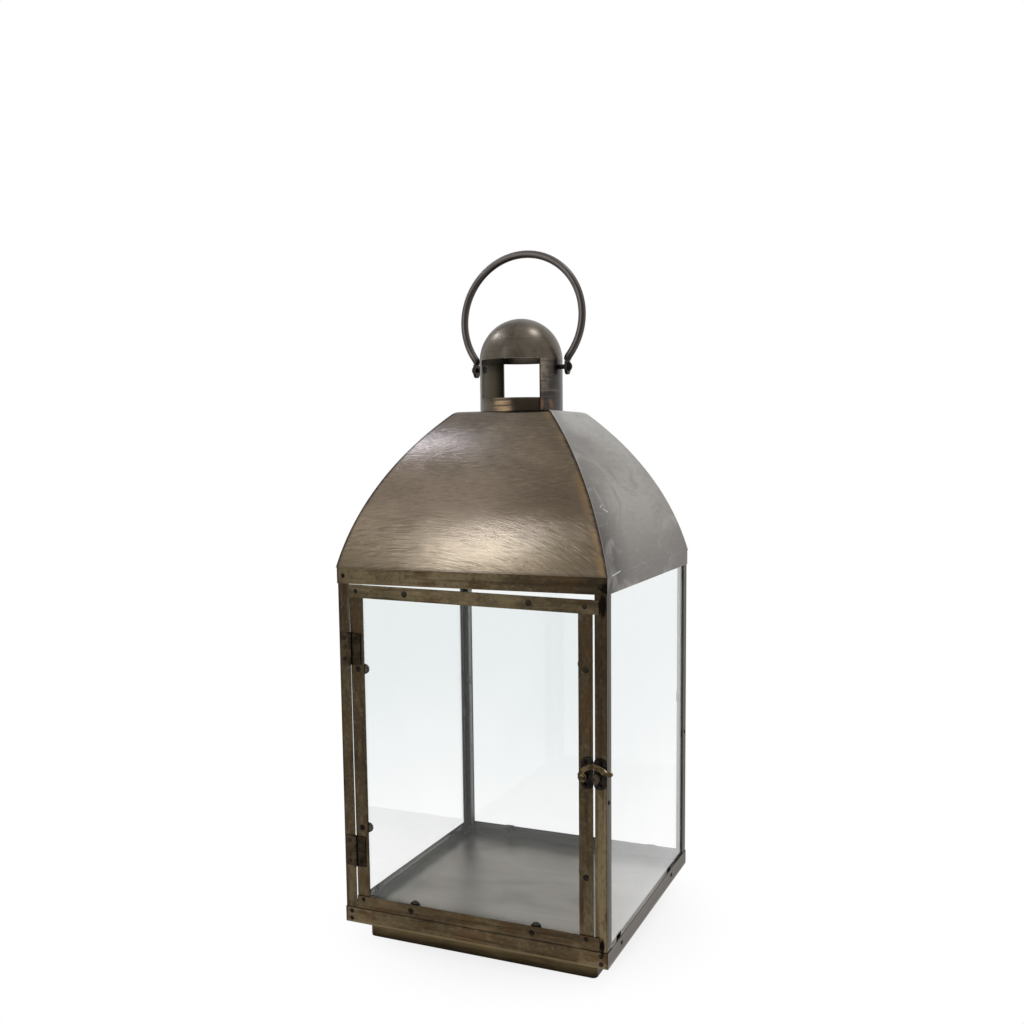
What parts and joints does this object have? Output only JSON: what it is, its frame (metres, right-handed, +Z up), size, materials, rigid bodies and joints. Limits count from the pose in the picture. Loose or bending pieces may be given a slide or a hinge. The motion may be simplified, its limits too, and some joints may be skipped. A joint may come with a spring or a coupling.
{
  "type": "candle lantern",
  "caption": "Square glazed sheet-metal candle lantern with a hinged glass door and hook latch, a curved hipped roof, a vented chimney with a domed cap and a ring-shaped wire bail.",
  "frame": {"origin": "middle of the plinth's underside, where the lantern stands", "axes": "+Z up towards the bail, -Y out of the door, hinges at -X and latch at +X"},
  "size_m": [0.2574, 0.2574, 0.6271],
  "materials": {
    "frame_brass": "dark antique patina, streaky satin",
    "roof_brass": "brushed antique patina",
    "floor_sheet": "satin",
    "bail_brass": "dark antique patina, satin",
    "dark_brass": "blackened",
    "hook_brass": "rubbed bright on the edges",
    "clear_glass": "clear"
  },
  "bodies": {
    "frame": {"corner_post_front_left": "frame_brass", "corner_post_front_right": "frame_brass", "corner_post_back_left": "frame_brass", "corner_post_back_right": "frame_brass", "top_rail_front": "frame_brass", "top_rail_back": "frame_brass", "top_rail_left": "frame_brass", "top_rail_right": "frame_brass", "bottom_rail_front": "frame_brass", "bottom_rail_back": "frame_brass", "bottom_rail_left": "frame_brass", "bottom_rail_right": "frame_brass", "base_plinth": "frame_brass", "roof_panel_front": "roof_brass", "roof_panel_back": "roof_brass", "roof_panel_left": "roof_brass", "roof_panel_right": "roof_brass", "roof_top_plate": "roof_brass", "chimney_tube": "roof_brass", "chimney_dome": "roof_brass", "floor_plate": "floor_sheet", "handle_pin_left": "bail_brass", "handle_pin_right": "bail_brass", "frame_rivets": "dark_brass", "glass_clip_rivets": "dark_brass", "glass_clips_left": "dark_brass", "glass_clips_right": "dark_brass", "glass_clips_back": "dark_brass", "hinge_frame_rivets": "dark_brass", "upper_hinge_frame_leaf": "dark_brass", "upper_hinge_pin": "dark_brass", "lower_hinge_frame_leaf": "dark_brass", "lower_hinge_pin": "dark_brass", "latch_catch_plate": "dark_brass", "latch_catch_screws": "dark_brass", "latch_stud": "dark_brass", "glass_left": "clear_glass", "glass_right": "clear_glass", "glass_back": "clear_glass"},
    "door": {"door_hinge_stile": "frame_brass", "door_latch_stile": "frame_brass", "door_top_strip": "frame_brass", "door_bottom_strip": "frame_brass", "door_glass": "clear_glass", "door_glass_clips": "dark_brass", "door_rivets": "dark_brass", "upper_hinge_door_leaf": "dark_brass", "lower_hinge_door_leaf": "dark_brass", "hinge_door_rivets": "dark_brass", "latch_door_plate": "dark_brass", "latch_door_screws": "dark_brass", "latch_pivot": "dark_brass"},
    "hook": {"latch_hook": "hook_brass"},
    "handle": {"bail_handle": "bail_brass"}
  },
  "joints": [
    {"name": "door_hinge", "type": "hinge", "parent": "frame", "child": "door", "pos_m": [-0.1136, -0.1269, 0.1784], "axis": [0, 0, -1], "range_deg": [0, 170]},
    {"name": "hook_pivot", "type": "hinge", "parent": "door", "child": "hook", "pos_m": [0.105, -0.1285, 0.17983], "axis": [0, -1, 0], "range_deg": [-13, 120]},
    {"name": "bail_pivot", "type": "hinge", "parent": "frame", "child": "handle", "pos_m": [0, 0, 0.5195], "axis": [1, 0, 0], "range_deg": [-124, 132]}
  ]
}
